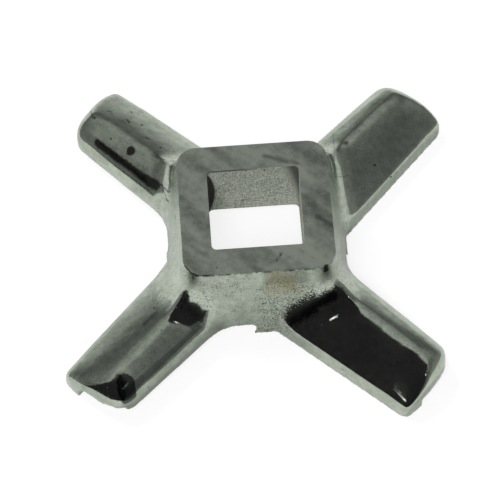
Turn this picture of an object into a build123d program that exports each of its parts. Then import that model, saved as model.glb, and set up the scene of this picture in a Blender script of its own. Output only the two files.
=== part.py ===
from build123d import *
import os
from math import cos, hypot, radians, tan

# Cross knife of a meat grinder, cast in one piece: a square hub with a square
# bore and four arms on its diagonals. Lengths in millimetres, angles in degrees.
# Z is the axis of the bore, the ground cutting lands lie on z = 0, the hub points up.
# On each arm the cutting edge is the leading side, clockwise seen from the hub.

# Whole knife
arm_count = 4
first_arm_angle = 45.0
tip_diameter = 48.3
knife_height = 9.05

# Hub and bore
boss_width = 15.2
boss_corner_radius = 2.0
hub_draft = 11.0
bore_width = 9.3
bore_corner_radius = 0.5
bore_lead_in = 0.5

# Arm section, at the middle of the arm
leading_offset = 5.3
trailing_offset = 3.4
side_taper = 2.5
edge_height = 2.0
wall_draft = 6.0
shoulder_height = 3.05
shoulder_radius = 2.1
leading_crown = 0.2
trailing_crown = 0.1
ridge_offset = -0.05
ridge_height = 4.65
ridge_fall = 2.5
ridge_radius = 1.3

# Arm tip, seen from above
tip_arc_radius = 14.0
tip_arc_offset = 2.2
leading_corner_radius = 0.9
trailing_corner_radius = 3.0
tip_roll_radius = 2.2
tip_roll_clearance = 0.1

# Blend of the arms into the hub
root_radius = 4.5

# Underside
land_width = 2.4
land_relief = 1.2
land_inner_end = 5.9

# Derived places
tip_radius = tip_diameter / 2
boss_half = boss_width / 2
arm_start = boss_half / 2
arm_overrun = 1.0
arm_end = tip_radius + arm_overrun
middle_station = (tip_radius + boss_half) / 2
hub_spread = knife_height * tan(radians(hub_draft))
touch = 0.001

# Widest blend of ridge and hub that still ends below the hub's face
ridge_at_hub = ridge_height + (middle_station - boss_half) * tan(radians(ridge_fall))
corner_angle = 90 - hub_draft - ridge_fall
root_limit = (knife_height - ridge_at_hub) / (cos(radians(hub_draft)) * tan(radians(corner_angle / 2)))
root_blend = min(root_radius, root_limit)

# Plane just over the ridge, falling with it, from which the end wall rolls down
tip_ridge_height = ridge_height - (tip_radius - middle_station) * tan(radians(ridge_fall))
roll_origin = (tip_radius, 0, tip_ridge_height + tip_roll_clearance)
roll_plane = Plane(origin=roll_origin, z_dir=(tan(radians(ridge_fall)), 0, 1))

# Arms stand on the diagonals of the square hub
arm_turns = [Rot(0, 0, first_arm_angle + index * 360 / arm_count) for index in range(arm_count)]

# Plan plane of an arm: X runs out along the arm, Y points to the cutting edge
plan_plane = Plane(origin=(0, 0, 0), x_dir=(1, 0, 0), z_dir=(0, 0, -1))


def side_at(offset, station):
    """Distance of a long side from the arm's axis at a station along the arm."""
    return offset - (station - middle_station) * tan(radians(side_taper))


def arm_section(station):
    """Cross section of an arm: drafted walls, long slope, ridge, short slope, shoulder."""
    lead = side_at(leading_offset, station)
    trail = side_at(trailing_offset, station)
    ridge = ridge_height - (station - middle_station) * tan(radians(ridge_fall))
    lead_top = lead - edge_height * tan(radians(wall_draft))
    trail_top = trail - shoulder_height * tan(radians(wall_draft))
    leading_slope = SagittaArc((lead_top, edge_height), (ridge_offset, ridge), -leading_crown)
    trailing_slope = SagittaArc((ridge_offset, ridge), (-trail_top, shoulder_height), -trailing_crown)
    walls = Polyline(
        (-trail_top, shoulder_height),
        (-trail, 0),
        (lead, 0),
        (lead_top, edge_height),
    )
    section = make_face([leading_slope, trailing_slope, walls])
    section = fillet(section.vertices().sort_by(Axis.Y)[-1], ridge_radius)
    shoulder = section.vertices().filter_by(lambda v: v.Y > shoulder_height - touch).sort_by(Axis.X)[0]
    section = fillet(shoulder, shoulder_radius)
    return Plane(origin=(station, 0, 0), x_dir=(0, -1, 0), z_dir=(-1, 0, 0)) * section


def arm_plan():
    """Outline of an arm from above, closed by the tip arc and its two corners."""
    strip = make_face(
        Polyline(
            (arm_start, side_at(leading_offset, arm_start)),
            (arm_end, side_at(leading_offset, arm_end)),
            (arm_end, -side_at(trailing_offset, arm_end)),
            (arm_start, -side_at(trailing_offset, arm_start)),
            close=True,
        )
    )
    arc_centre = tip_radius - tip_arc_radius
    tip_disc = Pos(arc_centre, tip_arc_offset) * Circle(tip_arc_radius)
    reach = Pos(arc_centre - tip_radius / 2, 0) * Rectangle(tip_radius, tip_diameter)
    plan = strip & (tip_disc + reach)
    leading_corner = plan.vertices().sort_by(Axis.X)[-2:].sort_by(Axis.Y)[-1]
    plan = fillet(leading_corner, leading_corner_radius)
    outer = plan.vertices().filter_by(lambda v: v.X > arc_centre)
    plan = fillet(outer.sort_by(Axis.Y)[0], trailing_corner_radius)
    return plan


def arm():
    """One arm, its end wall rolled over into the top, most at the ridge."""
    bar = loft([arm_section(arm_start), arm_section(arm_end)], ruled=True)
    envelope = extrude(plan_plane * arm_plan(), -knife_height)
    envelope = split(envelope, bisect_by=roll_plane, keep=Keep.BOTTOM)
    envelope = fillet(envelope.faces().sort_by(Axis.Z)[-1].edges(), tip_roll_radius)
    return bar & envelope


def hub():
    """Drafted square block with rounded corners."""
    sections = []
    for height, spread in ((0, hub_spread), (knife_height, 0)):
        width = boss_width + 2 * spread
        square = RectangleRounded(width, width, boss_corner_radius + spread)
        sections.append(Plane.XY.offset(height) * square)
    return loft(sections, ruled=True)


def is_root_edge(edge):
    """True where an arm leaves the hub, apart from the foot of its cutting wall."""
    middle = edge @ 0.5
    heights = [(edge @ 0).Z, (edge @ 1).Z]
    close_in = hypot(middle.X, middle.Y) < boss_half + hub_spread + root_radius
    below_boss = max(heights) < knife_height - touch
    off_floor = max(heights) > touch
    cutting_wall = min(heights) < touch and abs(max(heights) - edge_height) < touch
    return close_in and below_boss and off_floor and not cutting_wall


def relief():
    """What is taken from the underside: everything but the cutting lands."""
    slab = extrude(Rectangle(2 * tip_diameter, 2 * tip_diameter), land_relief)
    inner = land_inner_end
    lead_inner = side_at(leading_offset, inner)
    lead_end = side_at(leading_offset, arm_end)
    land = make_face(
        Polyline(
            (inner, lead_inner - land_width),
            (arm_end, lead_end - land_width),
            (arm_end, lead_end + land_width),
            (inner, lead_inner + land_width),
            close=True,
        )
    )
    land = extrude(plan_plane * land, -land_relief)
    for turn in arm_turns:
        slab = slab - turn * land
    return slab


def bore():
    """Square hole for the driving square, with a lead-in on the underside."""
    hole = extrude(RectangleRounded(bore_width, bore_width, bore_corner_radius), knife_height)
    mouth = bore_width + 2 * bore_lead_in
    lead_in = loft(
        [
            Plane.XY.offset(land_relief) * RectangleRounded(mouth, mouth, bore_corner_radius + bore_lead_in),
            Plane.XY.offset(land_relief + bore_lead_in)
            * RectangleRounded(bore_width, bore_width, bore_corner_radius),
        ],
        ruled=True,
    )
    return hole + lead_in


knife = hub()
one_arm = arm()
for turn in arm_turns:
    knife = knife + turn * one_arm
knife = fillet([edge for edge in knife.edges() if is_root_edge(edge)], root_blend)
knife = knife - relief() - bore()

os.makedirs("parts", exist_ok=True)
export_step(knife, "parts/knife.step")
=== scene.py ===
from math import atan2, cos, degrees, hypot, radians, sin, tan

import bmesh
import bpy
from mathutils import Matrix, Vector, noise


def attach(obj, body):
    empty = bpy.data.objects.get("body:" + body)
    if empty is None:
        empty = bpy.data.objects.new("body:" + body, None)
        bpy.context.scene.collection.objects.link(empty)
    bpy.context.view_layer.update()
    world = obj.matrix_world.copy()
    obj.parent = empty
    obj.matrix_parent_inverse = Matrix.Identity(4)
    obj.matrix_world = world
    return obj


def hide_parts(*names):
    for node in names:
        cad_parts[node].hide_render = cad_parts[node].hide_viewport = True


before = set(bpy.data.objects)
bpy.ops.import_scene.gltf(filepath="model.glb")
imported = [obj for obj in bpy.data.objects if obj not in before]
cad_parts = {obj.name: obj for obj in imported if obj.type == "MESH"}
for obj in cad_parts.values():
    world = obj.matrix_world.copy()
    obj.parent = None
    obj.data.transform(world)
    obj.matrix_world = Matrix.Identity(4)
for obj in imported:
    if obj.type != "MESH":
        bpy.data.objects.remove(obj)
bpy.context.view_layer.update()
mm = 0.001
scene = bpy.context.scene

view = {
    "azimuth": -1.9653,  # degrees
    "elevation": 58.3817,
    "roll": -2.2049,
    "distance": 300.01,  # millimetres
    "target": (-0.7601, -1.5475, 3.5),
    "lens": 212.86,
    "sensor": 36.0,
}

floor = {
    "half": 1500.0,  # millimetres
    "glow": 0.82,  # share of the floor that shines white where the camera sees it
    "seen": (0.95, 0.95, 0.95),
    "mirrored": (0.70, 0.70, 0.69),  # the same floor as the steel mirrors it
}

surround = {
    # brightness by height above the horizon in degrees, towards the north and elsewhere
    "north": (
        (-90, 0.90), (0, 0.85), (4, 0.66), (8, 0.52), (12, 0.36), (16, 0.21), (20, 0.15), (25, 0.19),
        (32, 0.26), (39, 0.37), (50, 0.40), (60, 0.44), (70, 0.52), (80, 0.60), (90, 0.55),
    ),
    "side": (
        (-90, 0.70), (-30, 0.45), (0, 0.36), (9, 0.30), (28, 0.24), (39, 0.25), (50, 0.28), (56, 0.32),
        (61, 0.37), (67, 0.50), (75, 0.60), (90, 0.55),
    ),
    "northIn": 35.0,  # degrees either side of north
    "northOut": 68.0,
    # round zones laid over that; azimuth from north, east positive
    "zones": [
        {"azimuth": 180.0, "elevation": -60.0, "radius": 42.0, "soft": 6.0, "colour": (0.78, 0.78, 0.78)},
        {"azimuth": 124.0, "elevation": 30.0, "radius": 13.0, "soft": 5.0, "colour": (0.12, 0.12, 0.12)},
        {"azimuth": -83.0, "elevation": 54.0, "radius": 12.0, "soft": 6.0, "colour": (0.40, 0.40, 0.395)},
        {"azimuth": 92.0, "elevation": 45.0, "radius": 14.0, "soft": 7.0, "colour": (0.19, 0.19, 0.195)},
        {"azimuth": -165.0, "elevation": 38.0, "radius": 51.2, "soft": 1.2, "colour": (0.028, 0.025, 0.029)},
        {"azimuth": -128.0, "elevation": 8.0, "radius": 21.0, "soft": 3.0, "colour": (0.030, 0.028, 0.029)},
    ],
}

lamps = [
    {"name": "ceilingLamp", "azimuth": -130.0, "elevation": 52.0, "away": 700, "size": 14, "watts": 0.016, "mirrored": True},
    {"name": "sideLamp", "azimuth": 128.0, "elevation": 54.0, "away": 700, "size": 14, "watts": 0.010, "mirrored": True},
    {"name": "windowLamp", "azimuth": -45.0, "elevation": 48.0, "away": 700, "size": 300, "watts": 3.0, "mirrored": False},
    {"name": "fillLamp", "azimuth": -165.0, "elevation": 56.0, "away": 700, "size": 300, "watts": 4.2, "mirrored": False},
]

casting = {
    "voxel": 0.18,  # millimetres
    "turn": 20.0,  # degrees between the knife and the even mesh's grid
    "smoothPasses": 4,
    "tipStart": 20.6,  # the arms' ends are rounder than the rest, more so further out
    "tipStep": 0.10,
    "tipFloor": 1.5,
    "tipPasses": 16,
    "droopStart": 19.8,
    "droopEnd": 24.15,
    "droopFloor": 1.2,
    "droop": 0.20,
    "wornPasses": 12,
    "wave": 0.005,  # height of the casting's uneven skin
    "waveLength": 2.6,
    "streak": 0.005,  # drawn out along the arms
    "streakWidth": 0.8,
    "streakLength": 7.0,
    "grain": 0.002,
    "grainLength": 0.5,
    "armStart": 9.5,
    "groundTop": 9.05,
    "groundSoft": 0.12,
    "bossHalf": 7.6,
    "bossCorner": 2.0,
    "bossDraft": 11.0,
    "boreHalf": 4.65,
    "boreCorner": 0.5,
}

# worn end of the south-west arm, along and across it from the knife's axis
chip = {"arm": 225.0, "along": 23.0, "across": (-3.0, 2.3), "top": 2.3, "depth": 0.42}


steel = {
    "castDark": (0.31, 0.355, 0.295),
    "castLight": (0.50, 0.555, 0.47),
    "castRough": 0.075,
    "hubRough": 0.26,
    "groundDark": (0.23, 0.265, 0.225),
    "groundLight": (0.46, 0.51, 0.43),
    "groundRough": 0.24,
    "boreRough": 0.50,
    "boreTone": (0.66, 0.70, 0.61),
    "boreMetal": 0.25,
    "pitAndShadeColour": (0.022, 0.023, 0.022),
    "stainColour": (0.42, 0.39, 0.23),
}

# dark spots, lines and smears, in millimetres from the knife's axis, each a line with a radius; the entries noted below
# are painted shade and painted reflections
spotsAndPaintedShade = [
    {"from": (-12.24, 10.97), "radius": 0.48, "soft": 0.10, "dark": 0.95},
    {"from": (-15.89, 15.53), "radius": 0.17, "soft": 0.10, "dark": 0.80},
    {"from": (-10.97, 14.69), "radius": 0.13, "soft": 0.06, "dark": 0.85},
    {"from": (-9.13, 11.20), "radius": 0.14, "soft": 0.07, "dark": 0.85},
    {"from": (-14.25, 12.75), "radius": 0.12, "soft": 0.06, "dark": 0.80},
    {"from": (12.82, 7.98), "radius": 0.12, "soft": 0.05, "dark": 0.90},
    {"from": (9.97, 9.93), "radius": 0.25, "soft": 0.20, "dark": 0.75},
    {"from": (6.49, -7.46), "radius": 0.24, "soft": 0.08, "dark": 0.95, "low": 8.15},
    {"from": (-6.71, -7.38), "radius": 0.12, "soft": 0.08, "dark": 0.80, "low": 8.3},
    {"from": (2.10, -5.75), "radius": 0.13, "soft": 0.06, "dark": 0.75},
    {"from": (1.71, -6.33), "radius": 0.11, "soft": 0.06, "dark": 0.70},
    {"from": (-4.34, -6.73), "radius": 0.09, "soft": 0.05, "dark": 0.60},
    {"from": (-16.18, 16.85), "to": (-16.10, 15.68), "radius": 0.05, "soft": 0.04, "dark": 0.80},
    {"from": (-14.55, 16.60), "to": (-14.05, 16.40), "radius": 0.06, "soft": 0.04, "dark": 0.70},
    {"from": (-12.55, 15.25), "to": (-12.25, 14.85), "radius": 0.09, "soft": 0.05, "dark": 0.75},
    {"from": (-10.60, 12.65), "to": (-10.20, 12.45), "radius": 0.07, "soft": 0.04, "dark": 0.70},
    {"from": (-9.95, 9.85), "to": (-8.68, 9.14), "radius": 0.05, "soft": 0.04, "dark": 0.85},
    {"from": (-9.85, 10.45), "to": (-9.55, 9.30), "radius": 0.05, "soft": 0.05, "dark": 0.60},
    {"from": (-9.55, 6.96), "to": (-8.42, 4.93), "radius": 0.05, "soft": 0.04, "dark": 0.85},
    {"from": (-9.20, 5.95), "to": (-8.65, 4.30), "radius": 0.04, "soft": 0.04, "dark": 0.70},
    {"from": (7.62, 3.40), "to": (8.35, 5.40), "radius": 0.03, "soft": 0.03, "dark": 0.60},
    {"from": (8.35, 5.40), "to": (9.88, 6.35), "radius": 0.03, "soft": 0.03, "dark": 0.65},
    {"from": (8.80, 12.07), "to": (8.50, 5.80), "radius": 0.04, "soft": 0.05, "dark": 0.35},
    {"from": (-7.45, -6.30), "to": (-6.90, -7.10), "radius": 0.07, "soft": 0.05, "dark": 0.85, "low": 8.9},
    {"from": (-6.90, -7.10), "to": (-6.20, -7.52), "radius": 0.10, "soft": 0.05, "dark": 0.92, "low": 8.85},
    {"from": (-6.20, -7.52), "to": (-4.60, -7.62), "radius": 0.06, "soft": 0.05, "dark": 0.88, "low": 8.9},
    {"from": (-4.60, -7.62), "to": (-1.50, -7.62), "radius": 0.03, "soft": 0.04, "dark": 0.45, "low": 8.98},
    {"from": (1.30, 6.10), "to": (3.60, 5.20), "radius": 0.10, "soft": 0.35, "dark": 0.55},
    {"from": (2.60, 5.90), "to": (4.50, 4.90), "radius": 0.10, "soft": 0.30, "dark": 0.40},
    {"from": (6.20, -1.60), "to": (7.40, -2.70), "radius": 0.20, "soft": 0.35, "dark": 0.50},
    {"from": (5.20, 0.60), "to": (7.40, -1.60), "radius": 0.50, "soft": 0.60, "dark": 0.26},
    {"from": (-1.30, -5.50), "to": (0.80, -6.50), "radius": 0.55, "soft": 0.60, "dark": 0.22},
    {"from": (2.20, -5.60), "to": (1.70, -6.40), "radius": 0.15, "soft": 0.20, "dark": 0.40},
    {"from": (6.80, 5.50), "to": (7.00, -5.50), "radius": 0.70, "soft": 1.00, "dark": 0.12},
    {"from": (-6.80, -1.00), "to": (-5.60, -2.20), "radius": 0.30, "soft": 0.40, "dark": 0.16},
    {"from": (-9.74, 9.97), "radius": 0.40, "soft": 0.40, "dark": 0.50},
    {"from": (16.14, 15.34), "radius": 0.40, "soft": 0.45, "dark": 0.45},
    {"from": (-11.90, -9.70), "to": (-10.70, -8.60), "radius": 0.15, "soft": 0.25, "dark": 0.40},
    {"from": (0.60, -7.75), "to": (4.40, -7.80), "radius": 0.25, "soft": 0.35, "dark": 0.30, "low": 7.0},
    # painted shade: darkens the south-west arm's south-east-facing wall, where the steel mirrors the floor in the
    # knife's shadow
    {"from": (-4.30, -9.50), "to": (-14.20, -18.30), "radius": 0.45, "soft": 0.60, "dark": 0.42, "low": -1.0},
    # painted reflection: the black band down the north-west arm's south-west slope, where the steel mirrors dark
    # surroundings
    {"from": (-15.75, 12.80), "to": (-10.20, 7.10), "radius": 0.32, "soft": 0.10, "dark": 0.90},
    {"from": (-10.90, 7.80), "to": (-9.80, 6.70), "radius": 0.42, "soft": 0.14, "dark": 0.90},
    {"from": (10.60, 6.60), "to": (16.60, 12.80), "radius": 0.90, "soft": 1.00, "dark": 0.14},
    # painted reflection: the black cap over the south-west arm's rounded end
    {"from": (-14.05, -16.15), "to": (-13.95, -17.00), "radius": 0.92, "soft": 0.10, "dark": 0.88},
]

# where the cast skin is sandiest, with denser dark specks; the first two lines run solid black, a painted reflection
# that widens the mirrored dark patch at the south-east arm's root
grimeAndPaintedShade = [
    {"from": (3.00, -9.40), "to": (5.00, -9.00), "radius": 0.45, "soft": 0.90, "dark": 2.2},
    {"from": (5.00, -9.00), "to": (7.20, -8.60), "radius": 0.20, "soft": 0.60, "dark": 2.2},
    {"from": (0.50, -9.00), "to": (3.50, -8.40), "radius": 0.60, "soft": 1.40, "dark": 0.7},
    {"from": (-7.80, -8.60), "to": (-6.40, -9.40), "radius": 0.30, "soft": 0.80, "dark": 1.0},
]

peppered = {"from": (-9.50, 11.20), "to": (-15.60, 15.40), "radius": 1.20, "soft": 1.20, "dark": 0.52}
stain = {"from": (0.80, -7.90), "to": (3.60, -8.10), "radius": 0.25, "soft": 0.70, "dark": 0.80}
haze = {"from": (8.60, -15.30), "to": (11.40, -17.70), "radius": 0.10, "soft": 0.75, "dark": 1.0}


def smoothStep(low, high, value):
    share = min(1.0, max(0.0, (value - low) / (high - low)))
    return share * share * (3 - 2 * share)


# Shader maths

class Signal:
    # one output socket, with the arithmetic that the finishes use
    def __init__(self, wiring, socket):
        self.wiring = wiring
        self.socket = socket

    def calc(self, operation, *others):
        values = dict(enumerate((self,) + others))
        return self.wiring.node("ShaderNodeMath", {"operation": operation}, values)

    def __add__(self, other):
        return self.calc("ADD", other)

    def __radd__(self, other):
        return self.calc("ADD", other)

    def __sub__(self, other):
        return self.calc("SUBTRACT", other)

    def __rsub__(self, other):
        return (self * -1).calc("ADD", other)

    def __mul__(self, other):
        return self.calc("MULTIPLY", other)

    def __rmul__(self, other):
        return self.calc("MULTIPLY", other)

    def __truediv__(self, other):
        return self.calc("DIVIDE", other)


class Wiring:
    # one node tree, built from its inputs to its output
    def __init__(self, owner):
        owner.use_nodes = True
        self.tree = owner.node_tree
        self.tree.nodes.clear()

    def node(self, kind, settings=None, values=None, output=0):
        made = self.tree.nodes.new(kind)
        for name, value in (settings or {}).items():
            if name == "stops":
                self.setStops(made.color_ramp, value)
            else:
                setattr(made, name, value)
        for key, value in (values or {}).items():
            if isinstance(value, Signal):
                self.tree.links.new(value.socket, made.inputs[key])
            else:
                made.inputs[key].default_value = value
        return Signal(self, made.outputs[output]) if made.outputs else made

    def setStops(self, ramp, stops):
        while len(ramp.elements) < len(stops):
            ramp.elements.new(0.5)
        for element, (place, shade) in zip(ramp.elements, stops):
            element.position = place
            element.color = (shade, shade, shade, 1)

    def ramp(self, factor, *stops):
        return self.node("ShaderNodeValToRGB", {"stops": stops}, {0: factor})

    def smoothRange(self, value, low, high):
        ends = {0: value, 1: low, 2: high}
        return self.node("ShaderNodeMapRange", {"interpolation_type": "SMOOTHSTEP"}, ends)

    def blend(self, factor, first, second):
        colours = {6: self.colour(first), 7: self.colour(second), 0: factor}
        return self.node("ShaderNodeMix", {"data_type": "RGBA"}, colours, output=2)

    def colour(self, value):
        return value if isinstance(value, Signal) else (*value, 1.0)

    def noise(self, place, scale, detail, output=0):
        values = {"Vector": place, "Scale": scale, "Detail": detail}
        return self.node("ShaderNodeTexNoise", None, values, output)

    def vector(self, operation, *values, output=0):
        return self.node("ShaderNodeVectorMath", {"operation": operation}, dict(enumerate(values)), output)

    def dot(self, first, second):
        return self.vector("DOT_PRODUCT", first, second, output=1)

    def split(self, place):
        parts = self.node("ShaderNodeSeparateXYZ", None, {0: place})
        return [Signal(self, socket) for socket in parts.socket.node.outputs]

    def nearLine(self, place, line):
        # 1 on a flat line segment, falling to 0 past its radius
        first = Vector((*line["from"], 0))
        run = Vector((*line.get("to", line["from"]), 0)) - first
        away = self.vector("SUBTRACT", place, tuple(first))
        if run.length > 0:
            share = self.dot(away, tuple(run / run.length_squared)).calc("MAXIMUM", 0).calc("MINIMUM", 1)
            onRun = self.node("ShaderNodeVectorMath", {"operation": "SCALE"}, {0: tuple(run), "Scale": share})
            away = self.vector("SUBTRACT", away, onRun)
        gap = self.vector("LENGTH", away, output=1)
        ends = line["radius"] + line["soft"], max(line["radius"] - line["soft"], 0)
        return self.smoothRange(gap * -1, -ends[0], -ends[1]) * line["dark"]

    def dots(self, place, cell, size, density):
        # round dots of mixed sizes in a share of the cells
        cells = self.node("ShaderNodeTexVoronoi", None, {"Vector": place, "Scale": 1 / cell})
        luck, other, _ = self.split(Signal(self, cells.socket.node.outputs["Color"]))
        kept = self.smoothRange(density - luck, 0.0, 0.02)
        return kept * self.smoothRange((other * 0.6 + 0.4) * size - cells * cell, 0.0, cell * 0.06)

    def turned(self, place, angle, stretch):
        turn = {"Vector": place, "Rotation": (0, 0, radians(angle)), "Scale": stretch}
        return self.node("ShaderNodeMapping", {"vector_type": "TEXTURE"}, turn)


# Camera

def placeCamera():
    azimuth, elevation, roll = (radians(view[key]) for key in ("azimuth", "elevation", "roll"))
    back = Vector((sin(azimuth) * cos(elevation), -cos(azimuth) * cos(elevation), sin(elevation)))
    right = Vector((cos(azimuth), sin(azimuth), 0))
    up = back.cross(right)
    imageRight = cos(roll) * right + sin(roll) * up
    imageUp = cos(roll) * up - sin(roll) * right
    data = bpy.data.cameras.new("photoView")
    data.lens = view["lens"]
    data.sensor_width = view["sensor"]
    data.sensor_fit = "HORIZONTAL"
    data.clip_start = 0.01
    data.clip_end = 10.0
    data.dof.use_dof = False
    made = bpy.data.objects.new("photoView", data)
    turn = Matrix((imageRight, imageUp, back)).transposed().to_4x4()
    place = (Vector(view["target"]) + back * view["distance"]) * mm
    made.matrix_world = Matrix.Translation(place) @ turn
    scene.collection.objects.link(made)
    scene.camera = made


placeCamera()
print("camera placed")


# Stage: pale floor, surroundings and lamps

def makeFloor():
    form = bmesh.new()
    bmesh.ops.create_grid(form, x_segments=1, y_segments=1, size=floor["half"] * mm)
    mesh = bpy.data.meshes.new("floor")
    form.to_mesh(mesh)
    form.free()
    made = bpy.data.objects.new("floor", mesh)
    scene.collection.objects.link(made)
    finish = bpy.data.materials.new("paleFloor")
    wiring = Wiring(finish)
    rays = wiring.node("ShaderNodeLightPath")
    through = Signal(wiring, rays.socket.node.outputs["Is Transmission Ray"])
    seen = rays.calc("MAXIMUM", through)
    paint = wiring.node("ShaderNodeBsdfDiffuse", None, {"Color": wiring.blend(seen, floor["mirrored"], floor["seen"])})
    glow = wiring.node("ShaderNodeEmission", None, {"Color": (1, 1, 1, 1), "Strength": 1.0})
    lit = wiring.node("ShaderNodeMixShader", None, {0: seen * floor["glow"], 1: paint, 2: glow})
    below = wiring.node("ShaderNodeNewGeometry", output=6)
    clear = wiring.node("ShaderNodeBsdfTransparent")
    both = wiring.node("ShaderNodeMixShader", None, {0: below, 1: lit, 2: clear})
    wiring.node("ShaderNodeOutputMaterial", None, {"Surface": both})
    mesh.materials.append(finish)


def directionOf(azimuth, elevation):
    azimuth, elevation = radians(azimuth), radians(elevation)
    return Vector((sin(azimuth) * cos(elevation), cos(azimuth) * cos(elevation), sin(elevation)))


def makeSurround():
    world = bpy.data.worlds.new("studio")
    scene.world = world
    wiring = Wiring(world)
    way = wiring.node("ShaderNodeTexCoord")
    east, north, rise = wiring.split(way)
    flat = (east * east + north * north).calc("SQRT").calc("MAXIMUM", 0.001)
    outer, inner = (cos(radians(surround[key])) for key in ("northOut", "northIn"))
    toNorth = wiring.smoothRange(north / flat, outer, inner)
    shades = []
    for side in ("side", "north"):
        stops = [((sin(radians(height)) + 1) / 2, shade) for height, shade in surround[side]]
        shades.append(wiring.ramp((rise + 1) / 2, *stops))
    around = wiring.blend(toNorth, *shades)
    for zone in surround["zones"]:
        middle = directionOf(zone["azimuth"], zone["elevation"])
        towards = wiring.dot(way, middle)
        outer, inner = (cos(radians(zone["radius"] + side * zone["soft"])) for side in (1, -1))
        inside = wiring.smoothRange(towards, outer, inner)
        around = wiring.blend(inside, around, zone["colour"])
    rays = wiring.node("ShaderNodeLightPath")
    through = Signal(wiring, rays.socket.node.outputs["Is Transmission Ray"])
    shown = wiring.blend(rays.calc("MAXIMUM", through), around, (1.0, 1.0, 1.0))
    light = wiring.node("ShaderNodeBackground", None, {"Color": shown, "Strength": 1.0})
    wiring.node("ShaderNodeOutputWorld", None, {"Surface": light})


def makeLamp(lamp):
    data = bpy.data.lights.new(lamp["name"], "AREA")
    data.shape = "DISK"
    data.size = lamp["size"] * mm
    data.energy = lamp["watts"]
    made = bpy.data.objects.new(lamp["name"], data)
    made.visible_glossy = lamp["mirrored"]
    way = directionOf(lamp["azimuth"], lamp["elevation"])
    made.location = way * lamp["away"] * mm
    made.rotation_euler = way.to_track_quat("Z", "Y").to_euler()
    scene.collection.objects.link(made)


makeFloor()
makeSurround()
for lamp in lamps:
    makeLamp(lamp)
print("stage ready")


# The casting: the knife's own mesh with soft edges and an uneven skin

def copyOfNode(name):
    form = bmesh.new()
    form.from_mesh(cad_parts[name].data)
    bmesh.ops.scale(form, vec=(1 / mm,) * 3, verts=form.verts)
    bmesh.ops.remove_doubles(form, verts=form.verts, dist=0.0005)
    form.transform(Matrix.Rotation(radians(casting["turn"]), 4, "Z"))
    return form


def remeshed(form, voxel):
    mesh = bpy.data.meshes.new("castingStart")
    form.to_mesh(mesh)
    form.free()
    start = bpy.data.objects.new("castingStart", mesh)
    scene.collection.objects.link(start)
    modifier = start.modifiers.new("even", "REMESH")
    modifier.mode = "VOXEL"
    modifier.voxel_size = voxel
    modifier.adaptivity = 0
    graph = bpy.context.evaluated_depsgraph_get()
    even = bpy.data.meshes.new_from_object(start.evaluated_get(graph))
    bpy.data.objects.remove(start)
    made = bmesh.new()
    made.from_mesh(even)
    made.transform(Matrix.Rotation(-radians(casting["turn"]), 4, "Z"))
    return made


def groundShare(place):
    # 1 on the ground hub face and the cutting lands, 0 on the cast skin
    top = smoothStep(casting["groundTop"] - casting["groundSoft"], casting["groundTop"] - 0.02, place.z)
    under = 1 - smoothStep(0.02, casting["groundSoft"], place.z)
    return max(top, under)


def armPlace(place, arm=None):
    # along and across the nearest arm, across is positive towards its cutting edge
    turn = 45 + 90 * round((degrees(atan2(place.y, place.x)) - 45) / 90) if arm is None else arm
    out = Vector((cos(radians(turn)), sin(radians(turn))))
    return place.xy.dot(out), place.x * out.y - place.y * out.x


def soften(form, verts, passes):
    for _ in range(passes):
        bmesh.ops.smooth_vert(form, verts=verts, factor=0.5, use_axis_x=True, use_axis_y=True, use_axis_z=True)


def ontoSquare(place, half, corner):
    # nearest point of a square's rounded outline
    core = half - corner
    centre = Vector((min(max(place.x, -core), core), min(max(place.y, -core), core)))
    way = place.xy - centre
    return centre + way.normalized() * corner if way.length > 0 else None


def roundTips(form):
    # the ends of the arms sink and round off towards the tip
    for turn in range(casting["tipPasses"]):
        start = casting["tipStart"] + turn * casting["tipStep"]
        soften(form, [v for v in form.verts if hypot(v.co.x, v.co.y) > start and v.co.z > casting["tipFloor"]], 1)
    for vert in form.verts:
        share = (armPlace(vert.co)[0] - casting["droopStart"]) / (casting["droopEnd"] - casting["droopStart"])
        above = vert.co.z - casting["droopFloor"]
        if share > 0 and above > 0:
            vert.co.z -= above * casting["droop"] * share * share


def isWorn(place):
    # the south-west arm's cutting side has lost its edge
    along, across = armPlace(place, chip["arm"])
    return along > 9.0 and across > 3.0 and place.z > 0.8


def sharpenGround(form):
    # flat ground faces, with vertices on their true edges
    outlines = (casting["bossHalf"], casting["bossCorner"]), (casting["boreHalf"], casting["boreCorner"])
    for vert in form.verts:
        if vert.co.z > casting["groundTop"] - casting["groundSoft"]:
            vert.co.z = casting["groundTop"]
        elif vert.co.z < 0.06:
            vert.co.z = 0
        if vert.co.z < casting["groundTop"] - 0.2:
            continue
        for half, corner in outlines:
            edge = ontoSquare(vert.co, half, corner)
            if edge is not None and (edge - vert.co.xy).length < casting["voxel"] * 0.55:
                vert.co = Vector((*edge, casting["groundTop"]))


def trueWalls(form):
    # the bore's walls and the hub's rim lie where the knife has them
    lean = tan(radians(casting["bossDraft"]))
    for vert in form.verts:
        low, reach = casting["groundTop"] - vert.co.z, max(abs(vert.co.x), abs(vert.co.y))
        if low < 0.001 or vert.co.z < 1.9:
            continue
        if reach < casting["boreHalf"] + 0.3:
            wall, catch = ontoSquare(vert.co, casting["boreHalf"], casting["boreCorner"]), 0.25
        elif low < 0.75 and reach > casting["bossHalf"] - 0.6:
            wall, catch = ontoSquare(vert.co, casting["bossHalf"] + low * lean, casting["bossCorner"] + low * lean), 0.18
        else:
            continue
        if wall is not None:
            move = wall - vert.co.xy
            vert.co += Vector((*move, 0)) * (1 - smoothStep(catch * 0.5, catch, move.length))


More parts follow.
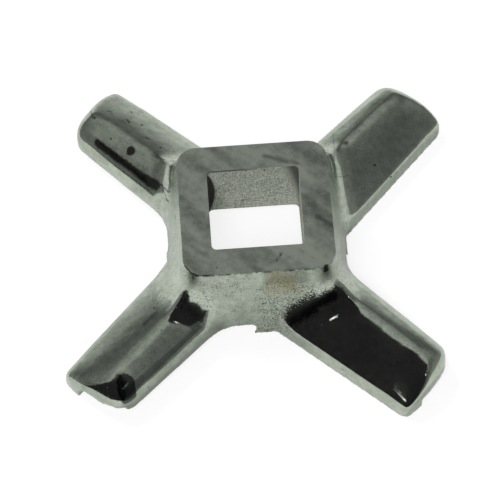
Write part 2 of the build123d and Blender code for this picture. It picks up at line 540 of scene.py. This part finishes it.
def skinMove(place):
    along, across = armPlace(place)
    onArm = smoothStep(casting["armStart"], casting["armStart"] + 3, along)
    wave = noise.noise(place / casting["waveLength"]) * casting["wave"]
    grain = noise.noise(place / casting["grainLength"] + Vector((9, 4, 2))) * casting["grain"]
    drawn = Vector((along / casting["streakLength"], across / casting["streakWidth"], place.x * 0.02))
    streak = noise.noise(drawn + Vector((3, 7, 5))) * casting["streak"] * onArm
    return wave + grain + streak - casting["wave"] - casting["streak"]


def chipMove(place):
    along, across = armPlace(place, chip["arm"])
    low, high = chip["across"]
    inside = smoothStep(low - 0.5, low + 0.6, across) * (1 - smoothStep(high - 0.2, high + 0.1, across))
    down = 1 - smoothStep(chip["top"] - 1.0, chip["top"], place.z)
    rough = 0.85 + 0.4 * noise.noise(place / 0.8)
    end = smoothStep(chip["along"] - 0.6, chip["along"], along)
    return Vector((1, 1, 0)).normalized() * inside * down * rough * end * chip["depth"]


def roughenSkin(form):
    form.normal_update()
    moves = [
        vert.normal * skinMove(vert.co) * (1 - groundShare(vert.co)) + chipMove(vert.co)
        for vert in form.verts
    ]
    for vert, move in zip(form.verts, moves):
        vert.co += move


def makeCasting():
    form = remeshed(copyOfNode("knife"), casting["voxel"])
    soften(form, form.verts, casting["smoothPasses"])
    roundTips(form)
    soften(form, [vert for vert in form.verts if isWorn(vert.co)], casting["wornPasses"])
    sharpenGround(form)
    trueWalls(form)
    roughenSkin(form)
    bmesh.ops.recalc_face_normals(form, faces=form.faces)
    for face in form.faces:
        face.smooth = True
    for edge in form.edges:
        if all(vert.co.z > casting["groundTop"] - 0.001 for vert in edge.verts):
            flats = [face.normal.z > 0.999 for face in edge.link_faces]
            edge.smooth = all(flats) or not any(flats)
    mesh = bpy.data.meshes.new("knifeCasting")
    form.to_mesh(mesh)
    form.free()
    mesh.transform(Matrix.Scale(mm, 4))
    made = bpy.data.objects.new("knifeCasting", mesh)
    scene.collection.objects.link(made)
    return made


def paintedBoreShade(wiring, bore, east, north, rise):
    # painted shade: black crescent and dark corner on the bore's far wall, black line under its top edge
    far = wiring.smoothRange(north, 3.9, 4.2)
    bend = (rise - 5.2) / 4.0
    reach = (1 - bend * bend) * 0.90 - 4.75
    crescent = wiring.smoothRange(reach - east, -0.08, 0.14) * 0.95
    corner = wiring.smoothRange(east + rise * 0.25, 4.9, 6.3) * 0.85
    topLine = wiring.smoothRange(rise, 8.72, 8.84) * wiring.smoothRange(east * -1, -1.5, 1.0) * 0.8
    return far * bore * crescent.calc("MAXIMUM", corner).calc("MAXIMUM", topLine)


def makeSteel():
    finish = bpy.data.materials.new("tumbledCastSteel")
    wiring = Wiring(finish)
    metres = wiring.node("ShaderNodeTexCoord", output=3)
    place = wiring.vector("SCALE", metres)
    place.socket.node.inputs["Scale"].default_value = 1 / mm
    east, north, rise = wiring.split(place)
    ground = wiring.smoothRange(rise, 9.02, 9.035).calc("MAXIMUM", wiring.smoothRange(rise * -1, -0.03, -0.01))
    reach = east.calc("ABSOLUTE").calc("MAXIMUM", north.calc("ABSOLUTE"))
    bore = wiring.smoothRange(reach * -1, -4.80, -4.72) * (1 - ground)
    outward = (east * east + north * north).calc("SQRT")
    root = 1 - wiring.smoothRange(outward, 10.0, 14.5)
    matte = wiring.smoothRange(rise, 6.2, 7.4).calc("MAXIMUM", 1 - wiring.smoothRange(outward, 9.0, 10.6)) * (1 - ground)

    cloud = wiring.noise(place, 0.19, 4.0)
    patch = wiring.noise(place, 0.42, 3.0)
    blotch = wiring.noise(place, 1.3, 3.0)
    grain = wiring.noise(place, 5.5, 2.0)
    peel = wiring.noise(place, 1.1, 2.0)
    smear = wiring.noise(wiring.turned(place, -42.0, (4.5, 1.0, 1.0)), 0.62, 5.0)

    grit = wiring.noise(place, 7.0, 1.0)
    dust = wiring.noise(place, 9.5, 2.0)
    flatPlace = wiring.vector("MULTIPLY", place, (1, 1, 0))
    crowd = wiring.smoothRange(patch, 0.42, 0.66)
    # speck density: sandy specks, and painted reflection where the first grime lines run it solid black
    dirtAndPaintedShade = crowd * (root * 0.35 + 0.10) + root * 0.10
    for line in grimeAndPaintedShade:
        dirtAndPaintedShade = dirtAndPaintedShade.calc("MAXIMUM", wiring.nearLine(flatPlace, line))
    fine = wiring.smoothRange(grit + dirtAndPaintedShade * 0.20, 0.66, 0.71)
    sand = wiring.smoothRange(dust, 0.46, 0.60) * bore
    coarse = wiring.dots(place, 1.2, 0.19, crowd * 0.34 + 0.06)
    pepper = wiring.dots(place, 0.70, 0.13, wiring.nearLine(flatPlace, peppered))
    specksAndPaintedShade = (fine * (dirtAndPaintedShade * 0.35 + 0.45).calc("MINIMUM", 0.95)).calc("MAXIMUM", coarse * 0.80).calc("MAXIMUM", pepper * 0.70).calc("MAXIMUM", sand * 0.68) * (1 - ground * 0.9)

    bent = wiring.noise(place, 1.7, 4.0, output=1)
    onTop = wiring.vector("MULTIPLY_ADD", bent, (0.36, 0.36, 0.0), place)
    onTop = wiring.vector("MULTIPLY", wiring.vector("SUBTRACT", onTop, (0.18, 0.18, 0.0)), (1, 1, 0))
    # painted shade in the bore, then the listed spots together with the painted shade and painted reflections
    marksAndPaintedShade = paintedBoreShade(wiring, bore, east, north, rise)
    for mark in spotsAndPaintedShade:
        low = mark.get("low", 2.4)
        marksAndPaintedShade = marksAndPaintedShade.calc("MAXIMUM", wiring.nearLine(onTop, mark) * wiring.smoothRange(rise, low - 0.2, low + 0.2))
    browned = wiring.nearLine(onTop, stain) * wiring.smoothRange(rise, 4.5, 6.5) * (1 - ground * 0.7)
    browned = browned * wiring.smoothRange(patch * 0.4 + blotch * 0.6, 0.38, 0.60)
    hazed = wiring.nearLine(onTop, haze) * wiring.smoothRange(rise, 1.9, 2.1)
    hazed = hazed * wiring.smoothRange(patch * 0.5 + blotch * 0.5, 0.36, 0.64)

    tone = wiring.ramp(cloud * 0.4 + blotch * 0.35 + grain * 0.25, (0.38, 0.0), (0.62, 1.0))
    cast = wiring.blend(tone, steel["castDark"], steel["castLight"])
    cast = wiring.blend(bore, cast, steel["boreTone"])
    flatTone = wiring.ramp(smear * 0.6 + blotch * 0.25 + grit * 0.15, (0.39, 0.0), (0.57, 1.0))
    flat = wiring.blend(flatTone, steel["groundDark"], steel["groundLight"])
    base = wiring.blend(ground, cast, flat)
    base = wiring.blend(browned, base, steel["stainColour"])
    # pits and spots, and the painted shade and painted reflections, take the dark pit colour
    base = wiring.blend(specksAndPaintedShade.calc("MAXIMUM", marksAndPaintedShade), base, steel["pitAndShadeColour"])
    rough = steel["castRough"] + patch * 0.08 + matte * steel["hubRough"] + ground * steel["groundRough"] + bore * steel["boreRough"]
    rough = rough + specksAndPaintedShade * 0.10 + browned * 0.2 + hazed * 0.12
    metal = 1 - bore * (1 - steel["boreMetal"])
    relief = peel * 0.5 + grain * (0.05 + root * 0.55 + bore * 0.5) - specksAndPaintedShade * 0.08
    bump = wiring.node("ShaderNodeBump", None, {"Strength": 0.20, "Distance": 0.00005, "Height": relief})
    shader = wiring.node(
        "ShaderNodeBsdfPrincipled",
        None,
        {"Base Color": base, "Metallic": metal, "Roughness": rough, "Normal": bump},
    )
    wiring.node("ShaderNodeOutputMaterial", None, {"Surface": shader})
    return finish


knife = makeCasting()
knife.data.materials.append(makeSteel())
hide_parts("knife")
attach(knife, "root")
print("casting", len(knife.data.vertices), "points", len(knife.data.polygons), "faces")

scene.view_settings.view_transform = "Standard"
